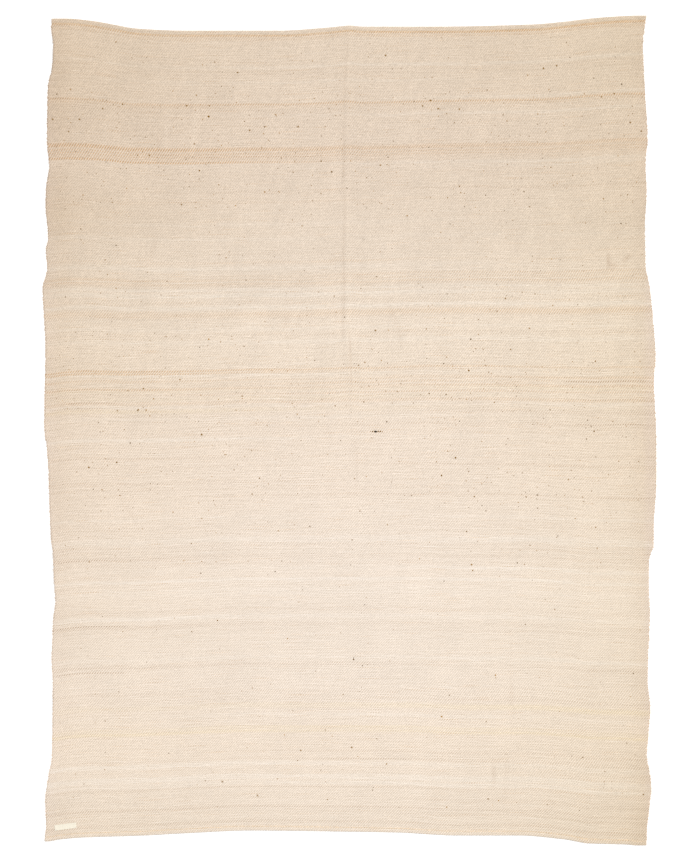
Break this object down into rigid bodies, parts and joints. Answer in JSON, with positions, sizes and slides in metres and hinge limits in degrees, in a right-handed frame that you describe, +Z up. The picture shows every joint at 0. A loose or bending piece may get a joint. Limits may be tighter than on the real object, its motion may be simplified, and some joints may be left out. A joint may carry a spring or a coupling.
{
  "type": "alpaca blanket",
  "caption": "Rectangular hand-woven twill blanket spread flat, with a rolled hem at each end, plain selvedges and a small bare sewn label.",
  "frame": {"origin": "middle of the blanket's box, on the surface that it lies on", "axes": "+X across the cloth from selvedge to selvedge, +Y along it from hem to hem away from the label, +Z up from the surface"},
  "size_m": [1.5318, 2.075, 0.0086],
  "materials": {
    "cloth": "soft matt wool twill, undyed cream",
    "label_tape": "smooth woven satin tape, off-white and bare"
  },
  "bodies": {
    "root": {"blanket": "cloth", "label": "label_tape"}
  },
  "joints": []
}
